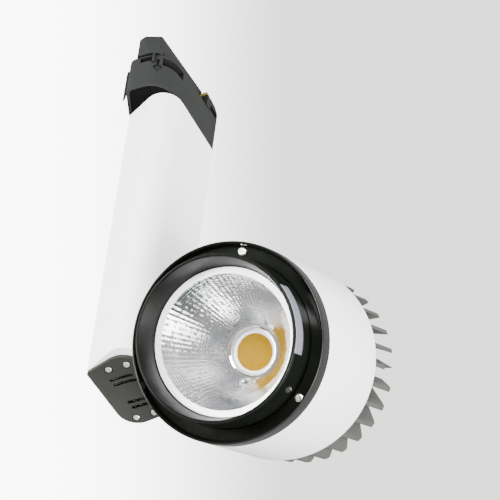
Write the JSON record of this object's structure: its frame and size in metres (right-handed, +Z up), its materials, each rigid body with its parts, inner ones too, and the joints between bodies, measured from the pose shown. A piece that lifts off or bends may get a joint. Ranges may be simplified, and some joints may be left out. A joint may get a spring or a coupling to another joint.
{
  "type": "track spotlight",
  "caption": "Track spotlight: a lever-locked track adapter, a long white driver box that swivels under it, and a tilting round lamp head with black snoot, bright reflector and finned heat sink.",
  "frame": {"origin": "on the flat top of the adapter's nose, where the track holds the light", "axes": "+Z up out of the adapter's top, +X from the driver box to the lamp head, and the lamp head aims towards -Y and down"},
  "size_m": [0.1335, 0.1521, 0.3128],
  "materials": {
    "adapter_plastic": "fine matt texture",
    "black_gloss": "high gloss",
    "board_green": "solder mask",
    "brass": "bright",
    "bright_metal": "mirror bright, faceted",
    "cap_plastic": "fine matt texture",
    "capacitor_skin": "sleeved",
    "ceramic": "fine matt",
    "dark_resin": "moulded",
    "fin_metal": "grey matt coat",
    "liner": "sheet",
    "pad_grey": "soft matt",
    "phosphor": "silicone, satin",
    "steel": "turned",
    "white_paint": "satin powder coat",
    "yellow_tape": "tape wound"
  },
  "bodies": {
    "adapter": {"adapter_housing": "adapter_plastic", "adapter_nose": "adapter_plastic", "adapter_stop": "adapter_plastic", "adapter_cover": "adapter_plastic", "cover_screw_1": "steel", "cover_screw_2": "steel", "contact_live": "brass", "contact_neutral": "brass", "contact_carrier": "liner"},
    "lock": {"lock_lever": "adapter_plastic", "lock_pin": "steel", "lock_cam": "liner"},
    "box": {"driver_box": "white_paint", "top_plate": "steel", "end_cap": "cap_plastic", "end_cap_screw_1": "steel", "end_cap_screw_2": "steel", "end_cap_screw_3": "steel", "end_cap_screw_4": "steel", "swivel_spindle": "steel", "swivel_washer": "liner", "swivel_nut": "steel", "driver_board": "board_green", "insulating_sheet": "liner", "transformer_core": "dark_resin", "input_capacitor": "capacitor_skin", "output_capacitor": "capacitor_skin", "input_choke": "yellow_tape", "switch_transistor": "dark_resin", "input_terminal": "liner", "output_terminal": "liner", "pivot_bush": "brass"},
    "head": {"pivot_bolt": "steel", "friction_washer": "steel", "pivot_nut": "steel", "bezel": "black_gloss", "bezel_screw_1": "steel", "bezel_screw_2": "steel", "bezel_screw_3": "steel", "snoot": "black_gloss", "sleeve": "white_paint", "heat_sink": "fin_metal", "sink_screw_1": "steel", "sink_screw_2": "steel", "sink_screw_3": "steel", "thermal_pad": "pad_grey", "emitter_board": "ceramic", "emitter": "phosphor", "emitter_holder": "ceramic", "reflector": "bright_metal"}
  },
  "joints": [
    {"name": "lock_turn", "type": "hinge", "parent": "adapter", "child": "lock", "pos_m": [-0.0062, -0.0079, -0.03], "axis": [0, 0, -1], "range_deg": [0, 55]},
    {"name": "swivel", "type": "hinge", "parent": "adapter", "child": "box", "pos_m": [-0.003, 0.012, -0.04], "axis": [0, 0, 1], "range_deg": [-175, 175]},
    {"name": "tilt", "type": "hinge", "parent": "box", "child": "head", "pos_m": [0.065, 0.0175, -0.2396], "axis": [1, 0, 0], "range_deg": [-40, 140]}
  ]
}
